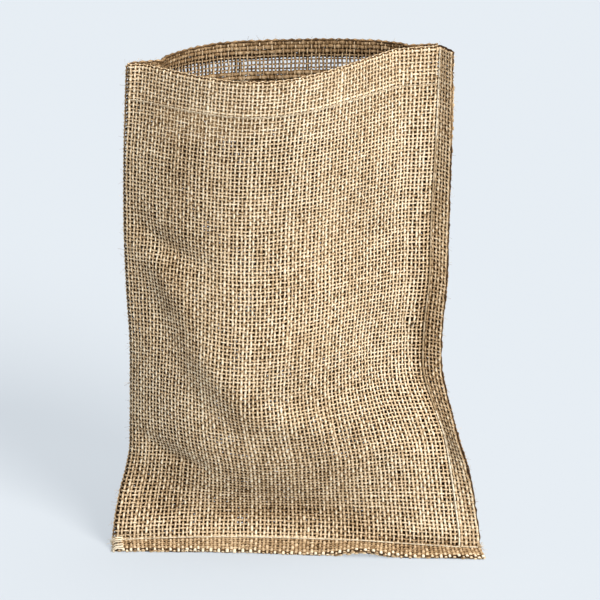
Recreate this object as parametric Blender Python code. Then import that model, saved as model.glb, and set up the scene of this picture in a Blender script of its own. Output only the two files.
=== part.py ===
"""A hessian sack standing open on its bottom seam, as one thin-walled cloth solid.

The cloth is one cut length, folded at -X and sewn at +X and along the bottom. Its seam allowances
are left outside and its mouth hem is turned inside. One grid wraps the whole cloth: it starts at
the edge of the bottom seam allowance, climbs the outside, turns over the rim and runs down the
inside to the bottom stitches. +Z is up, the front faces -Y, and the origin is the middle of the
foot, on the surface that the sack stands on.
"""

import bmesh
import bpy
import numpy as np

MM = 0.001

# Sizes of the cloth, in millimetres, and shares that shape its folds and its opening.
CLOTH_THICKNESS = 2.0
PANEL_LENGTH = 523.0
PANEL_WIDTH = 320.0
SIDE_ALLOWANCE = 18.5
HEM_DEPTH = 34.0
HEM_STEP = 3.0
LEAST_OPENING = 5.0
SEAM_LENGTH = 10.0
FOLDS_END = 0.12
FOLD_FADE = 0.35
OPENING_ROUND = 0.3
FOLD_LEAN = 0.1

# Points along a section of a panel and along a fold, to measure by.
SECTION_POINTS = 241
FOLD_POINTS = 41

# Faces of the wrap.
PANEL_COLUMNS = 24
CLOSER_EDGES = 0.35
CLOSER_LOW = 1.25
ALLOWANCE_FACES = 2
FOOT_LENGTH = 66.0
FOOT_ROWS = 12
WALL_ROWS = 24
HEM_ROWS = 2
WELD = 1e-6

# The middle of the sack's box, which the tables below don't start from.
MIDDLE_X = -0.25
MIDDLE_Y = -4.2

CLOTH_COLOUR = (0.50, 0.34, 0.19, 1.0)
CLOTH_ROUGHNESS = 0.95

# The two edges of the sack. "along" is the distance up the back's cloth from the bottom stitches,
# and "flange_turn" is how far the side seam allowance turns back (+) or forward (-), in degrees.
EDGE_COLUMNS = ("along", "fold_x", "fold_y", "fold_z", "seam_x", "seam_y", "seam_z", "flange_turn")
EDGES = (
    (0, -174, -28, 7, 152, -28, 6, 0),
    (18, -173, -27, 19, 151, -26, 21, -4),
    (38, -171, -21, 34, 148.5, -22, 39, -8),
    (62, -168, -13, 50, 145.5, -17, 61, -16),
    (90, -163, -6, 69, 141.5, -11, 86, -28),
    (118, -159, -3, 91, 137, -6, 110, -44),
    (144, -158.5, -3, 113, 129, 0, 131, -36),
    (192, -158, -5, 158, 116, 8, 171, -20),
    (234, -158, -8, 199, 116, 10, 208, -24),
    (292, -161, -8, 252, 121.5, 15, 265, -30),
    (342, -163, -8, 301, 122.5, 20, 312, -30),
    (432, -163, -9, 391, 127, 24, 401, -40),
    (523, -160.5, -11, 479, 130.5, 34, 487, -50),
)
# The middle line of each panel. The front leans back over the bottom seam, then out to its belly,
# and the back runs along the floor before it rises.
PROFILE_COLUMNS = ("along", "front_y", "front_z", "back_y", "back_z")
PROFILES = (
    (0, -27, 11, -27, 11),
    (7, -24.3, 15, -22, 5),
    (20, -20.5, 25, -10, -3),
    (27, -19.8, 30, -3, -5),
    (46, -22, 44, 18, -5),
    (57, -26, 52, 30, -4),
    (90, -38.5, 73.5, 46, 28),
    (118, -49, 94, 47, 63),
    (144, -56, 116, 52, 90),
    (192, -63, 160, 57, 140),
    (234, -67, 199, 59, 184),
    (292, -61, 255, 58, 244),
    (342, -56, 304, 56, 296),
    (432, -57, 395, 52, 391),
    (523, -60, 482, 46, 481.5),
)
# How each panel bulges between its edges: flat up to "wing", furthest out at "crest" and flat
# again from "valley", as shares of the way across. "round" under 1 is fuller, over 1 is slacker.
SHAPE_COLUMNS = (
    "along", "front_wing", "front_crest", "front_valley", "front_round",
    "back_wing", "back_crest", "back_valley", "back_round",
)
SHAPES = (
    (0, 0.00, 0.42, 1.00, 0.8, 0.00, 0.42, 1.00, 0.8),
    (18, 0.00, 0.42, 1.00, 1.2, 0.00, 0.50, 1.00, 0.6),
    (62, 0.00, 0.44, 1.00, 1.2, 0.00, 0.50, 1.00, 0.7),
    (144, 0.00, 0.43, 1.00, 1.0, 0.00, 0.50, 1.00, 0.8),
    (234, 0.00, 0.43, 0.94, 1.1, 0.00, 0.50, 1.00, 0.9),
    (432, 0.00, 0.44, 0.90, 1.1, 0.02, 0.44, 1.00, 0.8),
    (480, 0.02, 0.455, 0.88, 1.15, 0.06, 0.38, 0.96, 0.7),
    (523, 0.04, 0.47, 0.86, 1.2, 0.11, 0.33, 0.89, 0.6),
)
# The bottom seam allowance at shares of the way across: how far forward and sideways it runs from
# its stitches to its edge, and how high that edge is over the ground.
BOTTOM_COLUMNS = ("across", "forward", "edge_z", "sideways")
BOTTOM = (
    (0.00, 13, 0, 2),
    (0.35, 11, 0, 0),
    (0.62, 14, 0, 0),
    (0.72, 16, 5, 0),
    (0.82, 15, 0, 0),
    (1.00, 14, 0, 5),
)
# Each fold is a soft trough (-) or ridge (+) in a panel: its depth and half-width in millimetres,
# and the places that it runs through, each a share across and a distance up the cloth.
FOLDS = (
    ("front", -4.5, 13, ((0.02, 368), (0.14, 348), (0.27, 334))),
    ("front", 3.0, 14, ((0.01, 340), (0.12, 320), (0.22, 285))),
    ("front", -3.5, 21, ((0.06, 320), (0.14, 260), (0.22, 210), (0.36, 155))),
    ("front", 4.0, 16, ((0.30, 235), (0.42, 185), (0.60, 155))),
    ("front", -4.0, 10, ((0.02, 142), (0.12, 128), (0.24, 112))),
    ("front", -3.0, 14, ((0.80, 245), (0.86, 185), (0.90, 125))),
    ("back", -5.0, 16, ((0.10, 300), (0.28, 240), (0.45, 210))),
    ("back", -4.0, 14, ((0.88, 330), (0.74, 270), (0.66, 200))),
)


def read_table(columns, rows):
    """A table's columns as arrays, by name."""
    return dict(zip(columns, np.array(rows, float).T))


def smooth(table, key, name, at):
    """A column read at a place between its rows, along a curve without corners."""
    x, y = table[key], table[name]
    slope = np.gradient(y, x)
    i = np.clip(np.searchsorted(x, at, side="right") - 1, 0, len(x) - 2)
    width = x[i + 1] - x[i]
    t = np.clip((at - x[i]) / width, 0, 1)
    rise = t * t * (3 - 2 * t)
    lean = t * (1 - t) * ((1 - t) * slope[i] - t * slope[i + 1])
    return y[i] + (y[i + 1] - y[i]) * rise + width * lean


EDGE = read_table(EDGE_COLUMNS, EDGES)
PROFILE = read_table(PROFILE_COLUMNS, PROFILES)
SHAPE = read_table(SHAPE_COLUMNS, SHAPES)
FOOT_EDGE = read_table(BOTTOM_COLUMNS, BOTTOM)


def edge_point(which, along):
    """A point of the fold or of the side stitches."""
    return np.array([smooth(EDGE, "along", f"{which}_{axis}", along) for axis in "xyz"])


def bulge(share, panel, along):
    """How much of the way from the edges to the panel's middle line the cloth has come."""
    wing, crest, valley, fullness = (
        smooth(SHAPE, "along", f"{panel}_{name}", along)
        for name in ("wing", "crest", "valley", "round")
    )
    wing, valley = max(wing, 0), min(valley, 1)
    rising = (share - wing) / (crest - wing)
    falling = (valley - share) / (valley - crest)
    return np.sin(np.clip(np.minimum(rising, falling), 0, 1) * np.pi / 2) ** fullness


def section(panel, along, across):
    """Points across one panel at one height, evenly spaced along the cloth."""
    fold, seam = edge_point("fold", along), edge_point("seam", along)
    middle = np.array([smooth(PROFILE, "along", f"{panel}_{axis}", along) for axis in "yz"])
    share = np.linspace(0, 1, SECTION_POINTS)
    crest = smooth(SHAPE, "along", f"{panel}_crest", along)
    line = fold + (seam - fold) * share[:, None]
    outward = middle - (fold + (seam - fold) * crest)[1:]
    come = bulge(share, panel, along)
    line[:, 1:] += come[:, None] * outward
    gap = LEAST_OPENING * (4 * share * (1 - share)) ** OPENING_ROUND
    gap *= (1 - come) * min(along / SEAM_LENGTH, 1)
    line[:, 1] += -gap if panel == "front" else gap
    length = np.concatenate([[0], np.cumsum(np.linalg.norm(np.diff(line, axis=0), axis=1))])
    return np.stack([np.interp(across * length[-1], length, line[:, k]) for k in range(3)], axis=1)


def fold_depth(panel, across, along):
    """How far a panel's folds move it outward at places on the cloth."""
    depth = np.zeros(across.shape)
    for on, amount, half_width, places in FOLDS:
        if on != panel:
            continue
        line = np.array(places, float)
        steps = np.linspace(0, len(line) - 1, FOLD_POINTS)
        path = [np.interp(steps, range(len(line)), line[:, k]) for k in range(2)]
        fade = np.sqrt(np.sin(np.pi * (steps + FOLD_FADE) / (steps[-1] + 2 * FOLD_FADE)))
        sideways = (across[..., None] - path[0]) * PANEL_WIDTH
        distance = np.hypot(sideways, along[..., None] - path[1])
        depth += amount * (fade * np.exp(-((distance / half_width) ** 2))).max(axis=-1)
    return depth * np.clip(np.minimum(across, 1 - across) / FOLDS_END, 0, 1)


def outward_normals(points, panel, left):
    """Unit normals out of the sack at a grid of points. left is the column beyond the fold."""
    wide = np.concatenate([left[:, None], points], axis=1)
    across = np.gradient(wide, axis=1)[:, 1:]
    along = np.gradient(points, axis=0)
    n = np.cross(across, along) * (1 if panel == "front" else -1)
    return n / np.linalg.norm(n, axis=2, keepdims=True)


def panel_skin(panel, heights, across):
    """The inner face of one panel: a row at each height, columns from the fold to the stitches."""
    skin = np.array([section(panel, along, across) for along in heights])
    outward = outward_normals(skin, panel, 2 * skin[:, 0] - skin[:, 1])
    skin += outward * fold_depth(panel, *np.meshgrid(across, heights))[..., None]
    if panel == "back":
        skin[1:, :, 2] = np.maximum(skin[1:, :, 2], CLOTH_THICKNESS)
    return skin


def with_side_allowance(skin, heights):
    """The skin with the columns of the side seam allowance added beyond the stitches."""
    turn = np.radians([smooth(EDGE, "along", "flange_turn", along) for along in heights])
    outward = np.stack([np.cos(turn), np.sin(turn), np.zeros(len(turn))], axis=1)
    reach = SIDE_ALLOWANCE * np.arange(1, ALLOWANCE_FACES + 1) / ALLOWANCE_FACES
    flange = skin[:, -1:] + outward[:, None] * reach[None, :, None]
    return np.concatenate([skin, flange], axis=1)


def bottom_allowance(stitches, across):
    """Rows from the edge of the bottom seam allowance up to its stitches, without the stitches."""
    forward, sideways, edge_z = (
        np.array([smooth(FOOT_EDGE, "across", name, min(s, 1)) for s in across])
        for name in ("forward", "sideways", "edge_z")
    )
    edge = stitches + np.stack([sideways, -forward, edge_z + CLOTH_THICKNESS - stitches[:, 2]], axis=1)
    share = np.arange(ALLOWANCE_FACES)[:, None, None] / ALLOWANCE_FACES
    return edge + (stitches - edge) * share


def ring(front, tip, back):
    """One closed row of the wrap: across the front, round the tip, back across the back."""
    return np.concatenate([front, tip, back[:0:-1], front[:1]], axis=0)


def cloth_rings():
    """All rows of the wrap, from the edge of the bottom allowance to the inside of the stitches."""
    foot = np.linspace(0, FOOT_LENGTH, FOOT_ROWS + 1)
    hem_start = PANEL_LENGTH - HEM_DEPTH
    wall_top = hem_start - HEM_STEP
    wall = FOOT_LENGTH + (wall_top - FOOT_LENGTH) * np.linspace(0, 1, WALL_ROWS + 1)[1:] ** CLOSER_LOW
    hem = np.linspace(hem_start, PANEL_LENGTH, HEM_ROWS + 1)
    heights = np.concatenate([foot, wall, hem])
    across = np.linspace(0, 1, PANEL_COLUMNS + 1)
    across -= CLOSER_EDGES * np.sin(2 * np.pi * across) / (2 * np.pi)
    beyond = 1 + np.arange(1, ALLOWANCE_FACES + 1) * SIDE_ALLOWANCE / ALLOWANCE_FACES / PANEL_WIDTH

    inner = {panel: panel_skin(panel, heights, across) for panel in ("front", "back")}
    contact = {}
    for panel, skin in inner.items():
        wide = with_side_allowance(skin, heights)
        low = bottom_allowance(wide[0], np.concatenate([across, beyond]))
        contact[panel] = np.concatenate([low, wide], axis=0)

    normals = {}
    for panel, other in (("front", "back"), ("back", "front")):
        left = contact[other][:, 1] - [CLOTH_THICKNESS, 0, 0]
        normals[panel] = outward_normals(contact[panel], panel, left)
    past_fold = normals["front"][:, 0] + normals["back"][:, 0] - [FOLD_LEAN, 0, 0]
    past_fold /= np.linalg.norm(past_fold, axis=1, keepdims=True)

    outer = {}
    in_hem = heights >= hem_start
    for panel, skin in inner.items():
        normals[panel][:, 0] = past_fold
        outer[panel] = contact[panel] + normals[panel] * CLOTH_THICKNESS
        outer[panel][..., 2] = np.maximum(outer[panel][..., 2], 0)
        hem_layer = normals[panel][ALLOWANCE_FACES:, :PANEL_COLUMNS] * CLOTH_THICKNESS
        skin[in_hem, :PANEL_COLUMNS] -= hem_layer[in_hem]

    edge = {panel: rows[0] for panel, rows in contact.items()}
    rings = [ring(edge["front"], edge["front"][-1:], edge["back"])]
    for front, back, middle in zip(outer["front"], outer["back"], contact["front"]):
        rings.append(ring(front, middle[-1:], back))
    for front, back in zip(inner["front"][::-1], inner["back"][::-1]):
        seam = front[-1:].repeat(ALLOWANCE_FACES, axis=0)
        rings.append(ring(np.concatenate([front, seam]), front[-1:], np.concatenate([back, seam])))
    return (np.array(rings) - [MIDDLE_X, MIDDLE_Y, 0]) * MM


def cloth_material():
    """Natural jute."""
    material = bpy.data.materials.new("jute")
    material.use_nodes = True
    shader = material.node_tree.nodes["Principled BSDF"]
    shader.inputs["Base Color"].default_value = CLOTH_COLOUR
    shader.inputs["Roughness"].default_value = CLOTH_ROUGHNESS
    shader.inputs["Metallic"].default_value = 0.0
    return material


def build_sack(collection):
    """The cloth: a flat grid, wrapped round the rings and welded where it meets itself."""
    rings = cloth_rings()
    rows, columns = rings.shape[:2]
    bm = bmesh.new()
    bmesh.ops.create_grid(bm, x_segments=columns - 1, y_segments=rows - 1, size=1)
    for vert, place in zip(bm.verts, rings.reshape(-1, 3)):
        vert.co = place
    bmesh.ops.remove_doubles(bm, verts=bm.verts, dist=WELD)
    bmesh.ops.recalc_face_normals(bm, faces=bm.faces)
    mesh = bpy.data.meshes.new("sack")
    bm.to_mesh(mesh)
    bm.free()
    mesh.shade_smooth()
    mesh.materials.append(cloth_material())
    sack = bpy.data.objects.new("sack", mesh)
    collection.objects.link(sack)
    return sack


def main():
    for old in list(bpy.data.objects):
        bpy.data.objects.remove(old)
    collection = bpy.data.collections.new("hessian sack")
    bpy.context.scene.collection.children.link(collection)
    build_sack(collection)


main()
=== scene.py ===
"""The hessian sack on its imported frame: its cloth woven yarn by yarn, its sewing, floor and light.

The cloth follows the same tables and functions as the solid, read on a grid of half steps: every
odd row is a weft yarn, every even column a warp yarn, column 0 the fold and the last row the rim.
The two panels are then unrolled side by side. Lengths are in millimetres until a mesh is made.
"""

import math

import bpy
import numpy as np
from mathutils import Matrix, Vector


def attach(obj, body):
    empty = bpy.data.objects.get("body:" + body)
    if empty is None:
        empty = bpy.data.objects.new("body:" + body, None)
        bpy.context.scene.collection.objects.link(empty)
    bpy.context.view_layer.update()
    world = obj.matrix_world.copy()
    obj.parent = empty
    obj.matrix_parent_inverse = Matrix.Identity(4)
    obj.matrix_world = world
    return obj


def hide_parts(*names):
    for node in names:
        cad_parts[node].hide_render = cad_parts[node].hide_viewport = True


MM = 0.001
TINY = 1e-9
rng = np.random.default_rng(61)

# Sizes of the cloth, in millimetres, and shares that shape its folds and its opening, as in the
# solid. MIDDLE is the middle of the sack's box, which the tables below don't start from.
CLOTH_THICKNESS = 2.0
PANEL_LENGTH = 523.0
PANEL_WIDTH = 320.0
SIDE_ALLOWANCE = 18.5
LEAST_OPENING = 5.0
SEAM_LENGTH = 10.0
FOLDS_END = 0.12
FOLD_FADE = 0.35
OPENING_ROUND = 0.3
FOLD_LEAN = 0.1
MIDDLE = np.array([-0.25, -4.2, 0.0])

# Points along a section of a panel and along a fold, to measure by.
SECTION_POINTS = 241
FOLD_POINTS = 41

EDGE_COLUMNS = ("along", "fold_x", "fold_y", "fold_z", "seam_x", "seam_y", "seam_z", "flange_turn")
EDGES = (
    (0, -174, -28, 7, 152, -28, 6, 0),
    (18, -173, -27, 19, 151, -26, 21, -4),
    (38, -171, -21, 34, 148.5, -22, 39, -8),
    (62, -168, -13, 50, 145.5, -17, 61, -16),
    (90, -163, -6, 69, 141.5, -11, 86, -28),
    (118, -159, -3, 91, 137, -6, 110, -44),
    (144, -158.5, -3, 113, 129, 0, 131, -36),
    (192, -158, -5, 158, 116, 8, 171, -20),
    (234, -158, -8, 199, 116, 10, 208, -24),
    (292, -161, -8, 252, 121.5, 15, 265, -30),
    (342, -163, -8, 301, 122.5, 20, 312, -30),
    (432, -163, -9, 391, 127, 24, 401, -40),
    (523, -160.5, -11, 479, 130.5, 34, 487, -50),
)
PROFILE_COLUMNS = ("along", "front_y", "front_z", "back_y", "back_z")
PROFILES = (
    (0, -27, 11, -27, 11),
    (7, -24.3, 15, -22, 5),
    (20, -20.5, 25, -10, -3),
    (27, -19.8, 30, -3, -5),
    (46, -22, 44, 18, -5),
    (57, -26, 52, 30, -4),
    (90, -38.5, 73.5, 46, 28),
    (118, -49, 94, 47, 63),
    (144, -56, 116, 52, 90),
    (192, -63, 160, 57, 140),
    (234, -67, 199, 59, 184),
    (292, -61, 255, 58, 244),
    (342, -56, 304, 56, 296),
    (432, -57, 395, 52, 391),
    (523, -60, 482, 46, 481.5),
)
SHAPE_COLUMNS = (
    "along", "front_wing", "front_crest", "front_valley", "front_round",
    "back_wing", "back_crest", "back_valley", "back_round",
)
SHAPES = (
    (0, 0.00, 0.42, 1.00, 0.8, 0.00, 0.42, 1.00, 0.8),
    (18, 0.00, 0.42, 1.00, 1.2, 0.00, 0.50, 1.00, 0.6),
    (62, 0.00, 0.44, 1.00, 1.2, 0.00, 0.50, 1.00, 0.7),
    (144, 0.00, 0.43, 1.00, 1.0, 0.00, 0.50, 1.00, 0.8),
    (234, 0.00, 0.43, 0.94, 1.1, 0.00, 0.50, 1.00, 0.9),
    (432, 0.00, 0.44, 0.90, 1.1, 0.02, 0.44, 1.00, 0.8),
    (480, 0.02, 0.455, 0.88, 1.15, 0.06, 0.38, 0.96, 0.7),
    (523, 0.04, 0.47, 0.86, 1.2, 0.11, 0.33, 0.89, 0.6),
)
BOTTOM_COLUMNS = ("across", "forward", "edge_z", "sideways")
BOTTOM = (
    (0.00, 13, 0, 2),
    (0.35, 11, 0, 0),
    (0.62, 14, 0, 0),
    (0.72, 16, 5, 0),
    (0.82, 15, 0, 0),
    (1.00, 14, 0, 5),
)
# Soft troughs (-) and ridges (+): panel, depth, half-width, and places (share across, distance up).
FOLDS = (
    ("front", -4.5, 13, ((0.02, 368), (0.14, 348), (0.27, 334))),
    ("front", 3.0, 14, ((0.01, 340), (0.12, 320), (0.22, 285))),
    ("front", -3.5, 21, ((0.06, 320), (0.14, 260), (0.22, 210), (0.36, 155))),
    ("front", 4.0, 16, ((0.30, 235), (0.42, 185), (0.60, 155))),
    ("front", -4.0, 10, ((0.02, 142), (0.12, 128), (0.24, 112))),
    ("front", -3.0, 14, ((0.80, 245), (0.86, 185), (0.90, 125))),
    ("back", -5.0, 16, ((0.10, 300), (0.28, 240), (0.45, 210))),
    ("back", -4.0, 14, ((0.88, 330), (0.74, 270), (0.66, 200))),
)

# The weave: how many warps each panel and each side allowance has, and how many weft rows the
# panel, the bottom allowance and the hem have. The allowance's edge lies LOW_EDGE half steps up
# from the first row of the grid. PAST_FOLD moves the column beyond the fold left, for the normals.
WARPS = 85
FLANGE_WARPS = 5
ROWS = 127
LOW_ROWS = 6
LOW_EDGE = 0.9
HEM_ROWS = 9
BOTTOM_ALLOWANCE = 14.0
PAST_FOLD = CLOTH_THICKNESS / 4

# The yarns: their sizes, how far they swing out of the cloth at each crossing, how far the row on
# the rim lies above it, the limits of their swelling, and how far their cut ends stick out.
WARP_WIDTH = 2.15
WARP_DEPTH = 1.6
WEFT_WIDTH = 1.8
WEFT_DEPTH = 1.4
CRIMP = 0.6
RIM_LIFT = 0.3
YARN_SIDES = 6
SWELL_LIMITS = (0.6, 3.0)
FRAY = {"bottom": (1.2, 3.0), "top": (0.4, 1.6), "back": (0.3, 1.6), "front": (0.3, 1.6)}

# How uneven the weave is. A drift is smooth noise: its spacing, as rows and columns from one random
# value to the next, and its strength. Jitter is the strength of noise that changes at each crossing.
SIDEWAYS_DRIFTS = (((22, 1), 0.17), ((9, 5), 0.14))
LENGTHWAYS_DRIFTS = (((1, 26), 0.17), ((5, 9), 0.16))
FULLER_DRIFTS = (((9, 8), 0.03), ((30, 24), 0.04))
TONE_DRIFTS = (((26, 20), 0.03), ((7, 7), 0.02))
SWELL_DRIFTS = {
    "warp": (((300, 1), 0.06), ((7, 1), 0.07)),
    "weft": (((1, 400), 0.06), ((1, 7), 0.07)),
}
TINT_DRIFTS = {
    "warp": (((300, 1), 0.04), ((7, 1), 0.03)),
    "weft": (((1, 400), 0.04), ((1, 7), 0.03)),
}
SIDEWAYS_JITTER = 0.23
LENGTHWAYS_JITTER = 0.25
SWELL_JITTER = 0.10
TINT_JITTER = 0.09

# How much fuller or thinner the yarns are in places: the back below its hem, the lowest rows of
# both panels, the front's hem, the bottom allowance, and the back's hem, whose wefts are given from
# one row to a later one, counted from the rim on both layers. The inner layer lies HEM_SHIFT higher.
BACK_FULLER = {"warp": 1.65, "weft": 2.1}
FOOT_ROWS = 29
BACK_FOOT_FULLER = {"warp": 1.1, "weft": 1.1}
FRONT_FOOT_FULLER = {"warp": 1.08, "weft": 1.05}
FRONT_HEM_FULLER = {"warp": 1.08, "weft": 1.12}
ALLOWANCE_FULLER = {"warp": 1.25, "weft": 1.0}
HEM_WARPS = 0.75
HEM_WEFTS = ((0, 4, 2.5), (4, 8, 0.8), (8, 10, 2.6))
HEM_SHIFT = 0.8

# The yarns' tint, from 0, brown, to 1, straw: on average, added to the wefts, added where a yarn
# crosses over another as a painted highlight (and taken off where it dips, as painted shade), and
# added below, beside and above its middle, at these heights as shares of the radius: painted shade
# under and beside it and a painted highlight on its top.
YARN_TINT = 0.59
WEFT_TINT = -0.13
CROSSING_HIGHLIGHT_AND_SHADE = 0.18
YARN_SHADE_AND_HIGHLIGHT = (-0.85, -0.38, 0.20)
RECESS_HEIGHTS = (-0.8, 0, 0.8)

# Parts with a tone of their own, the back's inside darkened as painted shade and the cut edge
# lightened as a painted highlight: the tint to add, and the share of the painted crossing and recess
# shade and highlight that stays, which is the part's contrast. The last one darkens the wefts of the
# cut edge as painted shade between the ends of the warps.
INSIDE_BACK_SHADE = (-0.26, 0.85)
INSIDE_FRONT_TONE = (0.1, 0.25)
BACK_RIM_TONE = (-0.32, 0.8)
BELOW_HEM_ROWS = 14
BELOW_HEM_TONE = (0.08, 0.4)
FLANGE_TONE = (0.03, 0.7)
ALLOWANCE_TONE = (-0.07, 0.45)
EDGE_HIGHLIGHT = (0.35, 0.6)
EDGE_WEFT_SHADE = -0.7

# Broad patches of painted shade (darker) and painted light (lighter) on the front: the place as the
# share across and the distance up, their reach across and up, and the tint.
SHADE_AND_LIGHT_PATCHES = (
    (0.17, 290, 30, 110, -0.12),
    (0.17, 440, 30, 80, -0.08),
    (0.05, 345, 12, 30, -0.10),
    (0.54, 465, 28, 32, 0.07),
    (0.57, 228, 25, 20, -0.10),
    (0.64, 130, 50, 85, -0.08),
    (0.40, 140, 25, 50, -0.08),
    (0.36, 75, 65, 42, -0.11),
    (0.40, 30, 110, 16, -0.15),
    (0.72, 20, 30, 16, -0.10),
    (0.11, 62, 35, 25, -0.15),
    (0.92, 405, 30, 60, 0.13),
    (0.85, 505, 60, 22, -0.08),
    (0.95, 25, 45, 12, 0.10),
    (0.90, 1, 70, 5, -0.20),
    (0.95, -9, 60, 5, -0.10),
    (1.03, 210, 14, 120, -0.14),
    (1.0, 240, 5, 90, -0.22),
)

# Gaps that the yarns are pushed away from: the panel, the place across and up, the reach and the
# push, which fades close to the gap's middle. The middle lies half a row above the place's row.
HALF_ROW = 0.5
PUSH_FADE = 1.0
SPREADS = (
    ("front", 0.450, 335, 4.0, 1.3),
    ("front", 0.956, 236, 6.0, 1.9),
    ("front", 0.315, 18, 3.0, 0.8),
)
# Slubs, where one yarn is thicker: the yarn, the panel, the place across and up, the length, and
# how much its swell and its tint differ there.
SLUBS = (
    ("warp", "front", 0.670, 500, 60, 0.35, 0.18),
    ("warp", "front", 0.452, 330, 24, 0.4, -0.35),
    ("warp", "back", 0.382, 505, 70, 0.9, -0.15),
    ("warp", "back", 0.394, 505, 70, 0.8, -0.15),
    ("warp", "back", 0.594, 500, 50, 0.7, -0.3),
    ("weft", "front", 0.68, 488, 150, 0.35, 0.18),
    ("weft", "front", 0.30, 486, 90, 0.3, 0.08),
    ("weft", "front", 0.45, 3, 120, 0.3, 0.15),
)

# The sewing: for each seam the thread's diameter, the length of a stitch and of the gap after it,
# how far its middle rises over the line of the stitches, how far its ends dip under it, and its
# tint. The line lies THREAD_LIFT off the cloth.
THREADS = {
    "side": (1.7, 8.5, 0.5, 0.6, 0.3, 0.75),
    "bottom": (1.3, 7.5, 0.4, 0.5, 0.3, 0.5),
    "hem": (0.8, 5.5, 0.8, 0.1, 0.7, 0.4),
}
THREAD_SIDES = 5
# Painted shade under and beside the middle of threads and fibres, a painted highlight on top.
THREAD_SHADE_AND_HIGHLIGHT = (-0.3, -0.1, 0.1)
THREAD_LIFT = 0.8
THREAD_FLATNESS = 0.85
THREAD_TINT_SPREAD = 0.2
STITCH_POINTS = 7
STITCH_SPREAD = (0.85, 1.15)
# Where the side seam lies in a groove: from and to along it, and the tint added to its thread, which
# darkens it as painted shade.
GROOVE_SHADE = (130, 400, -0.75)

# The oversewn corner: how many turns of thread, how many half steps across they reach, the thread's
# diameter, how far it stands off the cloth and off the floor, its stray and its tint.
CORNER_TURNS = 6
CORNER_REACH = 4
CORNER_THREAD = 1.7
CORNER_LIFT = 1.0
CORNER_CLEARANCE = 0.1
CORNER_STRAY = 0.25
CORNER_TINTS = (0.5, 1.0)

# Loose fibres: how many lie on the cloth and how many stand off each edge, their sizes, tints and
# curl, the least height of their roots over the cloth's middle and of their points over the floor,
# how steeply they rise at first and how much of that is lost, their lifts, and how their ways stray.
LYING_FIBRES = 3500
EDGE_FIBRES = 70
FIBRE_SIDES = 3
FIBRE_POINTS = 4
FIBRE_LENGTH = (2.0, 6.5)
FIBRE_WIDTH = (0.12, 0.24)
FIBRE_TINTS = (0.3, 1.0)
FIBRE_CURL = 0.35
FIBRE_ROOT = 0.2
FIBRE_LEAST_Z = 0.72
FIRST_RISE = 1.3
RISE_LOSS = 0.5
LYING_LIFT = (0.1, 1.2)
EDGE_STRAY = 0.6
TUFT_LENGTH = (2.5, 7.0)
TUFT_WIDTH = (0.2, 0.4)
TUFT_LIFT = (0, 2)
TUFT_STRAY = 0.4
# Tufts of them: the panel, the place across and up, how many, their way right, out and up, and
# the tint added to them.
TUFTS = (
    ("front", 0.359, 523, 24, (0.3, 0.7, 0.5), 0.1),
    ("front", 0.968, 237, 20, (-0.5, 0.4, -0.8), -0.8),
    ("front", 1.055, 1, 20, (1.0, 0.2, 0.1), 0.1),
    ("front", 0.006, 1, 14, (-0.6, 0.7, 0.4), 0.2),
)

# The yarns' two maps. On the fibre map each path starts FIBRE_SHIFT further along than the last. On
# the bake map each path has a band of its own, and these are shares of it: where its strip starts
# and how high it is, how long it is, and its caps' middle, half-height and share of the margin.
FIBRE_SHIFT = 37.0
STRIP_START, STRIP_SHARE = 0.08, 0.84
RING_SHARE = 0.985
CAP_MIDDLE, CAP_HEIGHT, CAP_SHARE = 0.42, 0.3, 1 / 3

# What the yarn's shader and the noise of its strands are set to. The strands turn round the yarn as
# it's twisted, and change slowly along it. NOISE_MIDDLE is the noise's middle value.
YARN_SHADER = {
    "Specular IOR Level": 0.2,
    "Sheen Weight": 0.08,
    "Sheen Roughness": 0.5,
    "Sheen Tint": (0.9, 0.68, 0.42, 1),
}
STRAND_NOISE = {"Scale": 2.6, "Detail": 4.0, "Roughness": 0.65}
STRANDS_PER_MM = 0.12
STRAND_BUMP = 0.8
NOISE_MIDDLE = 0.5
TWIST_TURNS_PER_MM = 0.22

# The camera: its direction from the sack in degrees, its distance in metres, how much nearer than
# the origin the sack's middle lies, where the scale holds, and where the origin falls in the picture.
AZIMUTH, ELEVATION = 3.0, 21.0
CAMERA_DISTANCE = 20.0
MIDDLE_DEPTH = 0.09
PICTURE_SIDE = 600
MM_PER_PIXEL = 0.94
ORIGIN_PIXEL = (299.00, 541.89)
SENSOR_WIDTH = 36.0

# The lights, with degrees right of the front, degrees above the floor, strength and spread.
LIGHTS = {
    "key": (40.0, 38.0, 3.7, 26.0),
    "overhead": (120.0, 78.0, 1.7, 50.0),
}
LIGHT_COLOUR = (1.0, 0.97, 0.93)
AIR_COLOUR = (1.0, 0.98, 0.96)
AIR_STRENGTH = 0.3
FLOOR_HALF = 30.0
FLOOR_COLOUR = (0.22, 0.23, 0.24)
FLOOR_GLOW = (0.455, 0.505, 0.558)


def read_table(columns, rows):
    """A table's columns as arrays, by name."""
    return dict(zip(columns, np.array(rows, float).T))


def smooth(table, key, name, at):
    """A column read at a place between its rows, along a curve without corners."""
    x, y = table[key], table[name]
    slope = np.gradient(y, x)
    i = np.clip(np.searchsorted(x, at, side="right") - 1, 0, len(x) - 2)
    width = x[i + 1] - x[i]
    t = np.clip((at - x[i]) / width, 0, 1)
    rise = t * t * (3 - 2 * t)
    lean = t * (1 - t) * ((1 - t) * slope[i] - t * slope[i + 1])
    return y[i] + (y[i + 1] - y[i]) * rise + width * lean


def lengths_along(points):
    """How far along a path each of its points lies."""
    return np.concatenate([[0], np.cumsum(np.linalg.norm(np.diff(points, axis=0), axis=1))])


EDGE = read_table(EDGE_COLUMNS, EDGES)
PROFILE = read_table(PROFILE_COLUMNS, PROFILES)
SHAPE = read_table(SHAPE_COLUMNS, SHAPES)
FOOT_EDGE = read_table(BOTTOM_COLUMNS, BOTTOM)


def edge_point(which, along):
    """A point of the fold or of the side stitches."""
    return np.array([smooth(EDGE, "along", f"{which}_{axis}", along) for axis in "xyz"])


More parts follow.
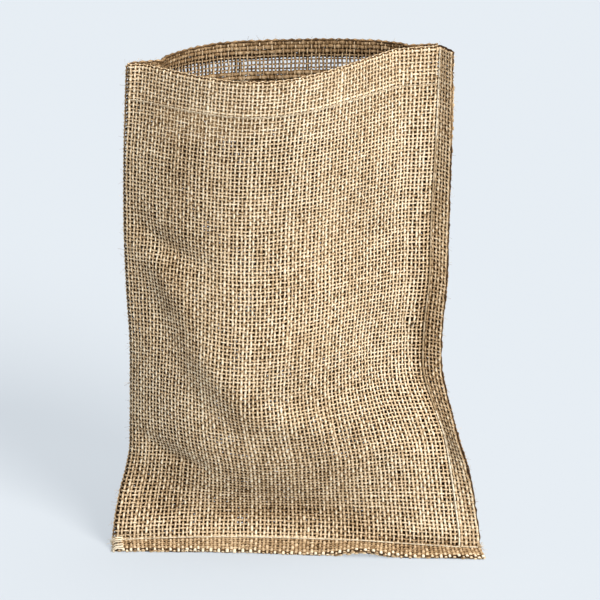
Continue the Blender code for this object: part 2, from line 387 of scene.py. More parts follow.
def bulge(share, panel, along):
    """How much of the way from the edges to the panel's middle line the cloth has come."""
    wing, crest, valley, fullness = (
        smooth(SHAPE, "along", f"{panel}_{name}", along)
        for name in ("wing", "crest", "valley", "round")
    )
    wing, valley = max(wing, 0), min(valley, 1)
    rising = (share - wing) / (crest - wing)
    falling = (valley - share) / (valley - crest)
    return np.sin(np.clip(np.minimum(rising, falling), 0, 1) * np.pi / 2) ** fullness


def section(panel, along, across):
    """Points across one panel at one height, evenly spaced along the cloth."""
    fold, seam = edge_point("fold", along), edge_point("seam", along)
    middle = np.array([smooth(PROFILE, "along", f"{panel}_{axis}", along) for axis in "yz"])
    share = np.linspace(0, 1, SECTION_POINTS)
    crest = smooth(SHAPE, "along", f"{panel}_crest", along)
    line = fold + (seam - fold) * share[:, None]
    outward = middle - (fold + (seam - fold) * crest)[1:]
    come = bulge(share, panel, along)
    line[:, 1:] += come[:, None] * outward
    gap = LEAST_OPENING * (4 * share * (1 - share)) ** OPENING_ROUND
    gap *= (1 - come) * min(along / SEAM_LENGTH, 1)
    line[:, 1] += -gap if panel == "front" else gap
    length = lengths_along(line)
    return np.stack([np.interp(across * length[-1], length, line[:, k]) for k in range(3)], axis=1)


def fold_depth(panel, across, along):
    """How far a panel's folds move it outward at places on the cloth."""
    depth = np.zeros(across.shape)
    for on, amount, half_width, places in FOLDS:
        if on != panel:
            continue
        line = np.array(places, float)
        steps = np.linspace(0, len(line) - 1, FOLD_POINTS)
        path = [np.interp(steps, range(len(line)), line[:, k]) for k in range(2)]
        fade = np.sqrt(np.sin(np.pi * (steps + FOLD_FADE) / (steps[-1] + 2 * FOLD_FADE)))
        sideways = (across[..., None] - path[0]) * PANEL_WIDTH
        distance = np.hypot(sideways, along[..., None] - path[1])
        depth += amount * (fade * np.exp(-((distance / half_width) ** 2))).max(axis=-1)
    return depth * np.clip(np.minimum(across, 1 - across) / FOLDS_END, 0, 1)


def unit(vectors):
    """Vectors at length 1."""
    return vectors / np.maximum(np.linalg.norm(vectors, axis=-1, keepdims=True), TINY)


def outward_normals(points, panel, left):
    """Unit normals out of the sack at a grid of points. left is the column beyond the fold."""
    wide = np.concatenate([left[:, None], points], axis=1)
    across = np.gradient(wide, axis=1)[:, 1:]
    along = np.gradient(points, axis=0)
    return unit(np.cross(across, along) * (1 if panel == "front" else -1))


def panel_skin(panel, heights, across):
    """The inner face of one panel: a row at each height, columns from the fold to the stitches."""
    skin = np.array([section(panel, along, across) for along in heights])
    outward = outward_normals(skin, panel, 2 * skin[:, 0] - skin[:, 1])
    skin += outward * fold_depth(panel, *np.meshgrid(across, heights))[..., None]
    if panel == "back":
        skin[1:, :, 2] = np.maximum(skin[1:, :, 2], CLOTH_THICKNESS)
    return skin


def with_side_allowance(skin, heights, reach):
    """The skin with the columns of the side seam allowance added beyond the stitches."""
    turn = np.radians([smooth(EDGE, "along", "flange_turn", along) for along in heights])
    outward = np.stack([np.cos(turn), np.sin(turn), np.zeros(len(turn))], axis=1)
    flange = skin[:, -1:] + outward[:, None] * reach[None, :, None]
    return np.concatenate([skin, flange], axis=1)


def bottom_allowance(stitches, across, share):
    """Rows from the edge of the bottom seam allowance up to its stitches, without the stitches."""
    forward, sideways, edge_z = (
        np.array([smooth(FOOT_EDGE, "across", name, min(s, 1)) for s in across])
        for name in ("forward", "sideways", "edge_z")
    )
    upward = edge_z + CLOTH_THICKNESS - stitches[:, 2]
    edge = stitches + np.stack([sideways, -forward, upward], axis=1)
    return edge + (stitches - edge) * share[:, None, None]


def evenly_spaced(skin):
    """The skin with each column's points evenly spaced along it, as weft rows are along a warp."""
    steps = np.linalg.norm(np.diff(skin, axis=0), axis=2)
    lengths = np.concatenate([np.zeros((1, skin.shape[1])), np.cumsum(steps, axis=0)])
    share = np.linspace(0, 1, len(skin))
    even = np.empty_like(skin)
    for column, length in enumerate(lengths.T):
        for axis in range(3):
            even[:, column, axis] = np.interp(share * length[-1], length, skin[:, column, axis])
    return even


def half_step_grids():
    """Where the panels meet, and their normals, at every half step of the weave."""
    heights = np.linspace(0, PANEL_LENGTH, 2 * ROWS + 1)
    across = np.linspace(0, 1, 2 * WARPS + 1)
    reach = SIDE_ALLOWANCE * np.arange(1, 2 * FLANGE_WARPS + 1) / (2 * FLANGE_WARPS)
    low = (np.arange(2 * LOW_ROWS) - LOW_EDGE) / (2 * LOW_ROWS - LOW_EDGE)
    contact = {}
    for panel in ("front", "back"):
        skin = panel_skin(panel, heights, across)
        wide = evenly_spaced(with_side_allowance(skin, heights, reach))
        foot = bottom_allowance(wide[0], np.concatenate([across, 1 + reach / PANEL_WIDTH]), low)
        contact[panel] = np.concatenate([foot, wide], axis=0)
    normals = {}
    for panel, other in (("front", "back"), ("back", "front")):
        left = contact[other][:, 1] - [PAST_FOLD, 0, 0]
        normals[panel] = outward_normals(contact[panel], panel, left)
    past_fold = unit(normals["front"][:, 0] + normals["back"][:, 0] - [FOLD_LEAN, 0, 0])
    for panel in normals:
        normals[panel][:, 0] = past_fold
    return contact, normals


class Cloth:
    """The unrolled weave: where its yarns cross, and the ways out, up and across at each crossing.

    Its rows run from the edge of the bottom allowance up the outside, over the rim and down the
    inside of the hem. Its columns run from the back's side allowance, over the fold, to the front's.
    """

    def __init__(self):
        contact, normals = half_step_grids()
        self.contact = {panel: points - MIDDLE for panel, points in contact.items()}
        self.normals = normals
        points, outward = (
            np.concatenate([grid["back"][:, :0:-2], grid["front"][:, ::2]], axis=1)
            for grid in (self.contact, normals)
        )
        outer = np.arange(1, len(points), 2)
        hem = outer[::-1][:HEM_ROWS]
        rim_up = unit(points[-1] - points[-3])
        self.rows = len(outer)
        self.fold = WARPS + FLANGE_WARPS
        self.place = np.concatenate([
            points[outer] + outward[outer] * CLOTH_THICKNESS / 2,
            [points[-1] + rim_up * RIM_LIFT],
            points[hem] - outward[hem] * CLOTH_THICKNESS / 2,
        ])
        self.outward = np.concatenate([outward[outer], [rim_up], -outward[hem]])
        self.up = unit(np.gradient(self.place, axis=0))
        self.across = unit(np.gradient(self.place, axis=1))
        # The columns that turn over the rim into the hem.
        self.hemmed = slice(FLANGE_WARPS + 1, self.place.shape[1] - FLANGE_WARPS - 1)

    def toned(self):
        """Parts of the weave with a tone of their own, painted shade inside the back and a painted
        highlight on the cut edge: rows, columns, the tint and the contrast.
        """
        back, front = slice(None, self.fold), slice(self.fold, None)
        inside = slice(self.rows + 1, None)
        below_hem = slice(self.rows - HEM_ROWS - BELOW_HEM_ROWS, self.rows - HEM_ROWS)
        flange = slice(-FLANGE_WARPS, None)
        return (
            # The back's inside darkened as painted shade.
            (inside, back, *INSIDE_BACK_SHADE),
            (inside, front, *INSIDE_FRONT_TONE),
            (slice(self.rows - 1, self.rows + 1), back, *BACK_RIM_TONE),
            (below_hem, back, *BELOW_HEM_TONE),
            (slice(LOW_ROWS, self.rows), flange, *FLANGE_TONE),
            (slice(None, LOW_ROWS), slice(None), *ALLOWANCE_TONE),
            # The cut edge's warp ends lightened as a painted highlight.
            (slice(None, 1), slice(None), *EDGE_HIGHLIGHT),
        )

    def column(self, panel, across):
        """The column at a share of the way across a panel."""
        step = round(across * WARPS)
        return self.fold + (step if panel == "front" else -step)

    @staticmethod
    def row(along):
        """The row at a distance up the cloth from the bottom stitches."""
        return LOW_ROWS + int(along / PANEL_LENGTH * ROWS)


def drift(shape, spacing, strength):
    """Smooth noise over a grid, with a random value every so many steps each way."""
    counts = [math.ceil(n / s) + 2 for n, s in zip(shape, spacing)]
    coarse = rng.normal(0, strength, counts)
    for axis in range(2):
        at = np.arange(shape[axis]) / spacing[axis]
        low = at.astype(int)
        t = at - low
        t = t * t * (3 - 2 * t)
        t = t.reshape([-1 if k == axis else 1 for k in range(2)])
        coarse = np.take(coarse, low, axis) * (1 - t) + np.take(coarse, low + 1, axis) * t
    return coarse


def uneven(level, shape, drifts, jitter=0.0):
    """A level over the grid with drifts on it and, where it has any, with jitter."""
    for spacing, strength in drifts:
        level = level + drift(shape, spacing, strength)
    return level + rng.normal(0, jitter, shape) if jitter else level


class Tubes:
    """Flattened closed tubes, one for each path, gathered into one mesh."""

    def __init__(self, name, sides=YARN_SIDES, shade_and_highlight=YARN_SHADE_AND_HIGHLIGHT):
        self.name = name
        self.sides = sides
        self.shade_and_highlight = shade_and_highlight
        self.paths = []

    def add(self, points, outward, width, depth, tint, contrast=1.0):
        """One path, with the way out of the cloth, its width, depth and tint, and its contrast."""
        values = (width, depth, tint, contrast)
        self.paths.append((points, outward, *(np.broadcast_to(value, len(points)) for value in values)))

    def skin(self, points, outward, width, depth, tint, contrast):
        """The points of one tube, ring after ring, and their tints with painted shade and highlight."""
        angles = 2 * np.pi * np.arange(self.sides) / self.sides
        # Painted shade under and beside the middle, a painted highlight on top.
        shade_and_highlight = np.interp(np.sin(angles), RECESS_HEIGHTS, self.shade_and_highlight)
        ahead = unit(np.gradient(points, axis=0))
        side = unit(np.cross(ahead, outward))
        up = np.cross(side, ahead)
        reach_side = side[:, None] * (np.cos(angles)[None, :, None] * width[:, None, None] / 2)
        reach_up = up[:, None] * (np.sin(angles)[None, :, None] * depth[:, None, None] / 2)
        ring = points[:, None] + reach_side + reach_up
        return ring.reshape(-1, 3), (tint[:, None] + shade_and_highlight * contrast[:, None]).ravel()

    def faces(self, points, number, first):
        """The faces of one tube, with their corners on the fibre map and on the bake map."""
        sides, count = self.sides, len(points)
        band = 1.0 / len(self.paths)
        low = (number + STRIP_START) * band
        i, k = (index.ravel() for index in np.indices((count - 1, sides)))
        after = (k + 1) % sides
        ring = first + i * sides
        later = ring + sides
        faces = np.stack([ring + k, later + k, later + after, ring + after], axis=1).tolist()
        length = lengths_along(points) + number * FIBRE_SHIFT
        along = np.stack([length[i], length[i + 1], length[i + 1], length[i]], axis=1)
        turn = np.stack([k, k, k + 1, k + 1], axis=1) / sides
        fibre = [np.stack([along, turn], axis=2).reshape(-1, 2)]
        start = 0.5 - RING_SHARE / 2
        share = start + RING_SHARE * np.stack([i, i + 1, i + 1, i], axis=1) / (count - 1)
        bake = [np.stack([share, low + STRIP_SHARE * band * turn], axis=2).reshape(-1, 2)]
        angles = 2 * np.pi * np.arange(sides) / sides
        ends = ((first, 1, start / 2), (first + (count - 1) * sides, -1, 1 - start / 2))
        for ring_first, order, middle in ends:
            faces.append([ring_first + n for n in range(sides)][::order])
            spin = angles[::order]
            height = low + band * (CAP_MIDDLE + CAP_HEIGHT * np.sin(spin))
            bake.append(np.stack([middle + start * CAP_SHARE * np.cos(spin), height], axis=1))
            fibre.append(np.stack([np.full(sides, length[0]), spin / (2 * np.pi)], axis=1))
        return faces, np.concatenate(fibre), np.concatenate(bake)

    def build(self, material, slot_name):
        """The mesh object, with its tints and its two maps, riding on the sack's body."""
        verts, tints, faces, fibre, bake = [], [], [], [], []
        first = 0
        for number, path in enumerate(self.paths):
            points, point_tints = self.skin(*path)
            verts.append(points)
            tints.append(point_tints)
            tube_faces, on_fibre, on_bake = self.faces(path[0], number, first)
            faces.extend(tube_faces)
            fibre.append(on_fibre)
            bake.append(on_bake)
            first += len(points)
        mesh = bpy.data.meshes.new(self.name)
        mesh.from_pydata((np.concatenate(verts) * MM).tolist(), [], faces)
        mesh.polygons.foreach_set("use_smooth", np.ones(len(mesh.polygons), bool))
        for map_name, coordinates in (("fibre", fibre), ("OFBake", bake)):
            layer = mesh.uv_layers.new(name=map_name)
            layer.data.foreach_set("uv", np.concatenate(coordinates).astype(np.float32).ravel())
        attribute = mesh.attributes.new("tint", "FLOAT", "POINT")
        attribute.data.foreach_set("value", np.concatenate(tints).astype(np.float32))
        mesh.materials.append(material)
        piece = bpy.data.objects.new(self.name, mesh)
        bpy.context.scene.collection.objects.link(piece)
        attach(piece, "root")
        return piece


def paint_shade_and_light(cloth, tone):
    """Add the broad patches of painted shade and light to the front."""
    row, column = np.indices(tone.shape)
    outside = (row < cloth.rows) & (column >= cloth.fold)
    length = np.interp(row - LOW_ROWS, (-LOW_ROWS, 0, ROWS), (-BOTTOM_ALLOWANCE, 0, PANEL_LENGTH))
    for across, along, wide, tall, tint in SHADE_AND_LIGHT_PATCHES:
        dx = (column - cloth.fold - across * WARPS) * PANEL_WIDTH / WARPS / wide
        dy = (length - along) / tall
        tone += tint * outside * np.exp(-(dx ** 2 + dy ** 2))


def spread_apart(cloth, sideways, lengthways):
    """Push the yarns round each gap in the weave away from its middle."""
    row, column = np.indices(sideways.shape)
    for panel, across, along, reach, push in SPREADS:
        dx = (column - cloth.column(panel, across)) * PANEL_WIDTH / WARPS
        dy = (row - cloth.row(along) - HALF_ROW) * PANEL_LENGTH / ROWS
        near = push * np.exp(-(dx ** 2 + dy ** 2) / reach ** 2)
        sideways += near * dx / (np.abs(dx) + PUSH_FADE)
        lengthways += near * dy / (np.abs(dy) + PUSH_FADE)


def thicken(cloth, yarn, swell, tint):
    """Add the slubs of the warps or of the wefts to their swell and tint."""
    row, column = np.indices(swell.shape)
    for kind, panel, across, along, length, more_swell, more_tint in SLUBS:
        if kind != yarn:
            continue
        if yarn == "warp":
            on = column == cloth.column(panel, across)
            step = (row - cloth.row(along)) * PANEL_LENGTH / ROWS
        else:
            on = row == cloth.row(along)
            step = (column - cloth.column(panel, across)) * PANEL_WIDTH / WARPS
        # Full over the middle half of its length, and fading towards both ends.
        share = on * np.clip(2 - 4 * np.abs(step) / length, 0, 1)
        swell += more_swell * share
        tint += more_tint * share


def rest_on_floor(points, outward, width, depth):
    """Lift a yarn's points where it would otherwise reach under the floor."""
    upward = outward[:, 2] ** 2
    reach = np.sqrt(width ** 2 * (1 - upward) + depth ** 2 * upward) / 2
    points[:, 2] = np.maximum(points[:, 2], reach)


def shifts(cloth):
    """How far each crossing is moved sideways and lengthways from its even place."""
    shape = cloth.place.shape[:2]
    sideways = uneven(0.0, shape, SIDEWAYS_DRIFTS, SIDEWAYS_JITTER)
    lengthways = uneven(0.0, shape, LENGTHWAYS_DRIFTS, LENGTHWAYS_JITTER)
    mirrored = cloth.rows - 1 - np.arange(HEM_ROWS)
    sideways[cloth.rows + 1 :] = sideways[mirrored]
    lengthways[cloth.rows + 1 :] = -lengthways[mirrored] - HEM_SHIFT
    spread_apart(cloth, sideways, lengthways)
    return sideways, lengthways


def fill_out(cloth, swells):
    """Make the yarns fuller or thinner on the parts of the cloth that have sizes of their own."""
    back, front = slice(None, cloth.fold), slice(cloth.fold, None)
    hem_start = cloth.rows - HEM_ROWS
    foot = slice(LOW_ROWS, LOW_ROWS + FOOT_ROWS)
    for yarn, swell in swells.items():
        swell[:LOW_ROWS] *= ALLOWANCE_FULLER[yarn]
        swell[foot, back] *= BACK_FOOT_FULLER[yarn]
        swell[foot, front] *= FRONT_FOOT_FULLER[yarn]
        swell[hem_start : cloth.rows, front] *= FRONT_HEM_FULLER[yarn]
    swells["warp"][hem_start:, back] *= HEM_WARPS
    for first, last, wider in HEM_WEFTS:
        swells["weft"][cloth.rows + first : cloth.rows + last, back] *= wider
        swells["weft"][cloth.rows - last : cloth.rows - first, back] *= wider


def yarn_looks(cloth, over):
    """The swell and the tint of the warps and of the wefts, and the contrast, at each crossing."""
    shape = over.shape
    fuller = uneven(1.0, shape, FULLER_DRIFTS)
    tone = uneven(0.0, shape, TONE_DRIFTS)
    contrast = np.ones(shape)
    for rows, columns, tint, share in cloth.toned():
        tone[rows, columns] += tint
        contrast[rows, columns] = share
    paint_shade_and_light(cloth, tone)
    swells, tints = {}, {}
    for yarn in ("warp", "weft"):
        swells[yarn] = fuller * uneven(1.0, shape, SWELL_DRIFTS[yarn])
        swells[yarn] += rng.normal(0, SWELL_JITTER, shape)
        swells[yarn][: cloth.rows - HEM_ROWS, : cloth.fold] *= BACK_FULLER[yarn]
        tints[yarn] = uneven(YARN_TINT + tone, shape, TINT_DRIFTS[yarn], TINT_JITTER)
        thicken(cloth, yarn, swells[yarn], tints[yarn])
    fill_out(cloth, swells)
    # The cut edge's first wefts darkened as painted shade between the warp ends.
    tints["weft"][0] += EDGE_WEFT_SHADE
    # Painted highlight where a yarn crosses over, painted shade where it dips.
    crossing = CROSSING_HIGHLIGHT_AND_SHADE * over * np.sqrt(contrast)
    tints["warp"] += crossing
    tints["weft"] += WEFT_TINT - crossing
    swells = {yarn: np.clip(swell, *SWELL_LIMITS) for yarn, swell in swells.items()}
    return swells, tints, contrast


def lay_yarn(tubes, line, ends, outward, looks, full_size):
    """One yarn along a line of crossings, with its cut ends as ways from the first and the last."""
    points = np.concatenate([[line[0] + ends[0]], line, [line[-1] + ends[1]]])
    outward, swell, tint, contrast = (
        np.concatenate([values[:1], values, values[-1:]]) for values in (outward, *looks)
    )
    width, depth = full_size[0] * swell, full_size[1] * np.sqrt(swell)
    rest_on_floor(points, outward, width, depth)
    tubes.add(points, outward, width, depth, tint, contrast)


def weave(cloth):
    """The four pieces of woven cloth: warps of each panel, and the lower and upper weft rows."""
    shape = cloth.place.shape[:2]
    row, column = np.indices(shape)
    over = np.where((row + column) % 2 == 0, 1.0, -1.0)
    sideways, lengthways = shifts(cloth)
    swells, tints, contrast = yarn_looks(cloth, over)
    moved = cloth.place + cloth.across * sideways[..., None] + cloth.up * lengthways[..., None]
    swing = cloth.outward * (CRIMP * over)[..., None]
    warp_line, weft_line = moved + swing, moved - swing
    fray = {side: rng.uniform(*FRAY[side], max(shape)) for side in FRAY}

    warps = {"back": Tubes("warp_yarns_back"), "front": Tubes("warp_yarns_front")}
    for c in range(shape[1]):
        hemmed = cloth.hemmed.start <= c < cloth.hemmed.stop
        on = slice(None if hemmed else cloth.rows), c
        ahead = cloth.up[on]
        ends = -ahead[0] * fray["bottom"][c], ahead[-1] * fray["top"][c]
        looks = swells["warp"][on], tints["warp"][on], contrast[on]
        tubes = warps["back" if c < cloth.fold else "front"]
        lay_yarn(tubes, warp_line[on], ends, cloth.outward[on], looks, (WARP_WIDTH, WARP_DEPTH))

    wefts = {"lower": Tubes("weft_yarns_lower"), "upper": Tubes("weft_yarns_upper")}
    for r in range(shape[0]):
        on = r, slice(None) if r < cloth.rows else cloth.hemmed
        ahead = cloth.across[on]
        ends = -ahead[0] * fray["back"][r], ahead[-1] * fray["front"][r]
        looks = swells["weft"][on], tints["weft"][on], contrast[on]
        tubes = wefts["lower" if r < cloth.rows // 2 else "upper"]
        lay_yarn(tubes, weft_line[on], ends, cloth.outward[on], looks, (WEFT_WIDTH, WEFT_DEPTH))
    return [*warps.values(), *wefts.values()]


def stitch_run(tubes, line, outward, kind):
    """A row of stitches along a line on the cloth: short arcs of thread that dip in at both ends."""
    diameter, stitch, gap, lift, dip, brightness = THREADS[kind]
    length = lengths_along(line)

    def at(values, where):
        return np.stack([np.interp(where, length, values[:, k]) for k in range(3)], axis=1)

    start = gap
    while start + stitch < length[-1]:
        size = stitch * rng.uniform(*STITCH_SPREAD)
        where = start + size * np.linspace(0, 1, STITCH_POINTS)
        height = lift * np.sqrt(np.sin(np.linspace(0, np.pi, STITCH_POINTS)))
        height[[0, -1]] = -dip
        out = unit(at(outward, where))
        tint = brightness + rng.uniform(-THREAD_TINT_SPREAD, THREAD_TINT_SPREAD)
        # Stitches in the groove darkened as painted shade.
        if kind == "side" and GROOVE_SHADE[0] < start < GROOVE_SHADE[1]:
            tint += GROOVE_SHADE[2]
        points = at(line, where) + out * height[:, None]
        tubes.add(points, out, diameter, diameter * THREAD_FLATNESS, tint)
        start += size + gap


def oversew_corner(tubes, cloth):
    """Turns of thread round the folded edge of the bottom allowance, which fasten the seam's end."""
    columns = np.arange(CORNER_REACH, -1, -1)
    for turn in range(CORNER_TURNS):
        row = round(turn / (CORNER_TURNS - 1) * (2 * LOW_ROWS - 1))
        points, outward = [], []
        for panel, order in (("front", columns), ("back", columns[-2::-1])):
            out = cloth.normals[panel][row, order]
            points.append(cloth.contact[panel][row, order] + out * (CLOTH_THICKNESS + CORNER_LIFT))
            outward.append(out)
        points = np.concatenate(points)
        points += rng.normal(0, CORNER_STRAY, points.shape)
        points[:, 2] = np.maximum(points[:, 2], CORNER_THREAD / 2 + CORNER_CLEARANCE)
        tint = rng.uniform(*CORNER_TINTS)
        tubes.add(points, np.concatenate(outward), CORNER_THREAD, CORNER_THREAD, tint)


def sew(cloth, material):
    """The threads of the side, bottom and hem seams."""
    seam = 2 * WARPS
    stitches = 2 * LOW_ROWS
    hem_row = 2 * (LOW_ROWS + ROWS - HEM_ROWS)
    runs = (
        ("side", (slice(stitches, None), seam)),
        ("bottom", (stitches, slice(None))),
        ("hem", (hem_row, slice(2, seam))),
    )
    made = []
    for kind, where in runs:
        tubes = Tubes(f"{kind}_thread", THREAD_SIDES, THREAD_SHADE_AND_HIGHLIGHT)
        for panel in ("front", "back"):
            outward = cloth.normals[panel][where]
            line = cloth.contact[panel][where] + outward * (CLOTH_THICKNESS + THREAD_LIFT)
            stitch_run(tubes, line, outward, kind)
        if kind == "bottom":
            oversew_corner(tubes, cloth)
        made.append(tubes.build(material, "jute"))
    return made


def fibre_path(start, ahead, outward, length, lift, bend):
    """Points along a loose fibre that leaves the cloth, curls sideways and rises off it."""
    t = np.linspace(0, 1, FIBRE_POINTS)[:, None]
    sideways = np.cross(ahead, outward)
    rise = lift * t * (FIRST_RISE - RISE_LOSS * t)
    return start + ahead * (length * t) + sideways * (bend * t ** 2) + outward * rise


def add_loose_fibres(cloth, material):
    """Fine fibres that lie over the cloth, and others that stand off its edges."""
    fibres = Tubes("loose_fibres", FIBRE_SIDES, THREAD_SHADE_AND_HIGHLIGHT)
    rows, columns = cloth.rows, cloth.place.shape[1]

    def grow(r, c, ahead, lift, lengths=FIBRE_LENGTH, widths=FIBRE_WIDTH, more_tint=0.0):
        out = cloth.outward[r, c]
        length = rng.uniform(*lengths)
        start = cloth.place[r, c] + out * rng.uniform(FIBRE_ROOT, WARP_DEPTH)
        bend = rng.normal(0, FIBRE_CURL) * length
        points = fibre_path(start, unit(ahead), out, length, lift, bend)
        points[:, 2] = np.maximum(points[:, 2], FIBRE_LEAST_Z)
        width = rng.uniform(*widths)
        tint = rng.uniform(*FIBRE_TINTS) + more_tint
        fibres.add(points, np.tile(out, (FIBRE_POINTS, 1)), width, width, tint)

    for panel, across, along, count, (right, out, up), more_tint in TUFTS:
        r, c = cloth.row(along), cloth.column(panel, across)
        for _ in range(count):
            ahead = np.array([right, -out, up]) + rng.normal(0, TUFT_STRAY, 3)
            grow(r, c, ahead, rng.uniform(*TUFT_LIFT), TUFT_LENGTH, TUFT_WIDTH, more_tint)
    for _ in range(LYING_FIBRES):
        r, c = rng.integers(0, len(cloth.place)), rng.integers(*cloth.hemmed.indices(columns)[:2])
        angle = rng.uniform(0, 2 * np.pi)
        ahead = cloth.across[r, c] * math.cos(angle) + cloth.up[r, c] * math.sin(angle)
        grow(r, c, ahead, rng.uniform(*LYING_LIFT))
    edges = (
        (lambda: (rng.integers(0, rows), cloth.fold), cloth.outward, 1.0),
        (lambda: (rng.integers(0, rows), 0), cloth.across, -1.0),
        (lambda: (rng.integers(0, rows), columns - 1), cloth.across, 1.0),
        (lambda: (rows, rng.integers(FLANGE_WARPS, columns - FLANGE_WARPS)), cloth.outward, 1.0),
        (lambda: (0, rng.integers(0, columns)), cloth.up, -1.0),
    )
    for pick, way, sign in edges:
        for _ in range(EDGE_FIBRES):
            r, c = pick()
            ahead = way[r, c] * sign + rng.normal(0, EDGE_STRAY, 3)
            grow(r, c, ahead, 0.0)
    return fibres.build(material, "jute")


def ramp(nodes, stops):
    """A colour ramp with these (place, colour) stops."""
    node = nodes.new("ShaderNodeValToRGB")
    elements = node.color_ramp.elements
    while len(elements) < len(stops):
        elements.new(0.5)
    for element, (place, colour) in zip(elements, stops):
        element.position = place
        element.color = (*colour, 1)
    return node


def set_inputs(node, values):
    """Set a node's inputs, by name."""
    for name, value in values.items():
        node.inputs[name].default_value = value


def yarn_material(name, stops, roughness, streaks, bump_distance):
    """Twisted plant fibre: colour by the yarn's tint, painted shade and highlight included, darker and
    lighter streaks round its helix.
    """
    material = bpy.data.materials.new(name)
    material.use_nodes = True
    nodes, links = material.node_tree.nodes, material.node_tree.links
    shader = nodes["Principled BSDF"]
    set_inputs(shader, YARN_SHADER)
    shader.inputs["Roughness"].default_value = roughness

    def math_node(operation, first, second):
        node = nodes.new("ShaderNodeMath")
        node.operation = operation
        for socket, value in zip(node.inputs, (first, second)):
            if isinstance(value, (int, float)):
                socket.default_value = value
            else:
                links.new(value, socket)
        return node.outputs[0]

    fibre = nodes.new("ShaderNodeUVMap")
    fibre.uv_map = "fibre"
    split = nodes.new("ShaderNodeSeparateXYZ")
    links.new(fibre.outputs["UV"], split.inputs[0])
    along, turn = split.outputs[0], split.outputs[1]
    helix = math_node("ADD", turn, math_node("MULTIPLY", along, TWIST_TURNS_PER_MM))
    angle = math_node("MULTIPLY", helix, 2 * math.pi)
    place = nodes.new("ShaderNodeCombineXYZ")
    links.new(math_node("COSINE", angle, 0), place.inputs[0])
    links.new(math_node("SINE", angle, 0), place.inputs[1])
    links.new(math_node("MULTIPLY", along, STRANDS_PER_MM), place.inputs[2])
    strands = nodes.new("ShaderNodeTexNoise")
    set_inputs(strands, STRAND_NOISE)
    links.new(place.outputs[0], strands.inputs["Vector"])

    tint = nodes.new("ShaderNodeAttribute")
    tint.attribute_name = "tint"
    streak = math_node("MULTIPLY", math_node("SUBTRACT", strands.outputs[0], NOISE_MIDDLE), streaks)
    colour = ramp(nodes, stops)
    links.new(math_node("ADD", tint.outputs["Fac"], streak), colour.inputs[0])
    links.new(colour.outputs[0], shader.inputs["Base Color"])
    bump = nodes.new("ShaderNodeBump")
    set_inputs(bump, {"Strength": STRAND_BUMP, "Distance": bump_distance})
    links.new(strands.outputs[0], bump.inputs["Height"])
    links.new(bump.outputs[0], shader.inputs["Normal"])
    return material


def jute_material():
    """Unbleached jute, from brown where the tint paints shade in the recesses to straw where it paints
    a highlight on the crowns.
    """
    stops = (
        (0.0, (0.035, 0.016, 0.005)),
        (0.25, (0.15, 0.082, 0.030)),
        (0.5, (0.42, 0.280, 0.150)),
        (0.75, (0.76, 0.58, 0.37)),
        (1.0, (0.96, 0.85, 0.65)),
    )
    return yarn_material("jute_yarn", stops, roughness=0.75, streaks=0.9, bump_distance=0.0003)


def thread_material():
    """Pale tan sewing thread."""
    stops = (
        (0.0, (0.42, 0.30, 0.17)),
        (1.0, (0.95, 0.86, 0.68)),
    )
    return yarn_material("pale_thread", stops, roughness=0.65, streaks=0.5, bump_distance=0.0002)


def make_floor():
    """A plain pale floor that glows a little, so that shadows on it stay light."""
    mesh = bpy.data.meshes.new("floor")
    corners = [(x * FLOOR_HALF, y * FLOOR_HALF, 0) for x, y in ((-1, -1), (1, -1), (1, 1), (-1, 1))]
    mesh.from_pydata(corners, [], [(0, 1, 2, 3)])
    floor = bpy.data.objects.new("floor", mesh)
    bpy.context.scene.collection.objects.link(floor)
    material = bpy.data.materials.new("floor")
    material.use_nodes = True
    set_inputs(material.node_tree.nodes["Principled BSDF"], {
        "Base Color": (*FLOOR_COLOUR, 1),
        "Roughness": 1.0,
        "Specular IOR Level": 0.0,
        "Emission Color": (*FLOOR_GLOW, 1),
        "Emission Strength": 1.0,
    })
    mesh.materials.append(material)


def direction(azimuth, elevation):
    """The way from the sack to a place at these degrees right of the front and above the floor."""
    azimuth, elevation = math.radians(azimuth), math.radians(elevation)
    level = math.cos(elevation)
    return Vector((math.sin(azimuth) * level, -math.cos(azimuth) * level, math.sin(elevation)))


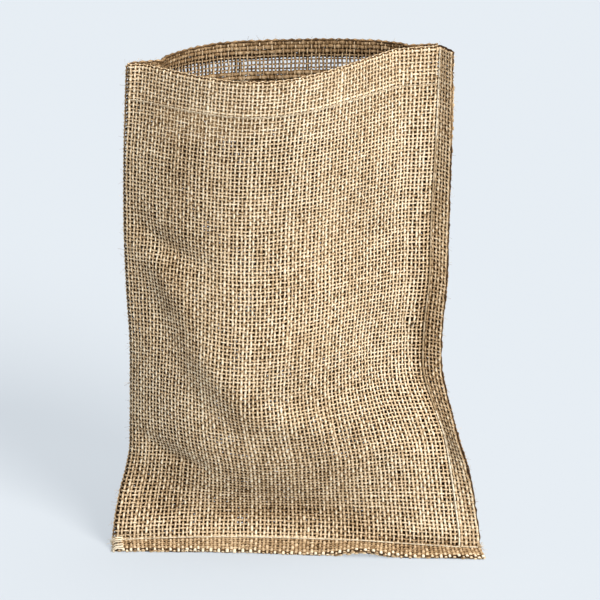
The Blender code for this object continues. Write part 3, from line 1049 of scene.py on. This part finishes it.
def light_scene():
    """Broad soft lights from the front right and from overhead, in pale air."""
    for name, (azimuth, elevation, strength, spread) in LIGHTS.items():
        data = bpy.data.lights.new(name, "SUN")
        data.energy = strength
        data.angle = math.radians(spread)
        data.color = LIGHT_COLOUR
        light = bpy.data.objects.new(name, data)
        light.rotation_euler = direction(azimuth, elevation).to_track_quat("Z", "Y").to_euler()
        bpy.context.scene.collection.objects.link(light)
    world = bpy.data.worlds.new("air")
    world.use_nodes = True
    background = world.node_tree.nodes["Background"]
    set_inputs(background, {"Color": (*AIR_COLOUR, 1), "Strength": AIR_STRENGTH})
    bpy.context.scene.world = world


def aim_camera():
    """A long lens from the photograph's angle, framed so that the origin falls where it did."""
    back = direction(AZIMUTH, ELEVATION)
    right = Vector((math.cos(math.radians(AZIMUTH)), math.sin(math.radians(AZIMUTH)), 0))
    up = back.cross(right)
    middle = PICTURE_SIDE / 2
    aim = right * (middle - ORIGIN_PIXEL[0]) + up * (ORIGIN_PIXEL[1] - middle)
    aim = aim * MM_PER_PIXEL * MM + back * MIDDLE_DEPTH
    data = bpy.data.cameras.new("camera")
    data.sensor_width = SENSOR_WIDTH
    data.lens = SENSOR_WIDTH * CAMERA_DISTANCE / (PICTURE_SIDE * MM_PER_PIXEL * MM)
    data.clip_end = 2 * CAMERA_DISTANCE
    camera = bpy.data.objects.new("camera", data)
    camera.location = aim + back * CAMERA_DISTANCE
    camera.rotation_euler = back.to_track_quat("Z", "Y").to_euler()
    bpy.context.scene.collection.objects.link(camera)
    bpy.context.scene.camera = camera


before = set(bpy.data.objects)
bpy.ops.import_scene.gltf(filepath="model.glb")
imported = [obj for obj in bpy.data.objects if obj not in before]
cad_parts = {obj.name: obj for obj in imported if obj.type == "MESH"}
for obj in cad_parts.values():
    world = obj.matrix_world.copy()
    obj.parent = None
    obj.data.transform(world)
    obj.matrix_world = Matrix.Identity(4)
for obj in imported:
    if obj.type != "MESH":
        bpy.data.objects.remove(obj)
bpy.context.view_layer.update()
aim_camera()
light_scene()
make_floor()

cloth = Cloth()
jute = jute_material()
woven = [tubes.build(jute, "jute") for tubes in weave(cloth)]
front_warps = next(piece for piece in woven if piece.name == "warp_yarns_front")
others = [piece for piece in woven if piece is not front_warps]
others += sew(cloth, thread_material())
others.append(add_loose_fibres(cloth, jute))

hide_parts("sack")
bpy.context.scene.view_settings.view_transform = "Standard"
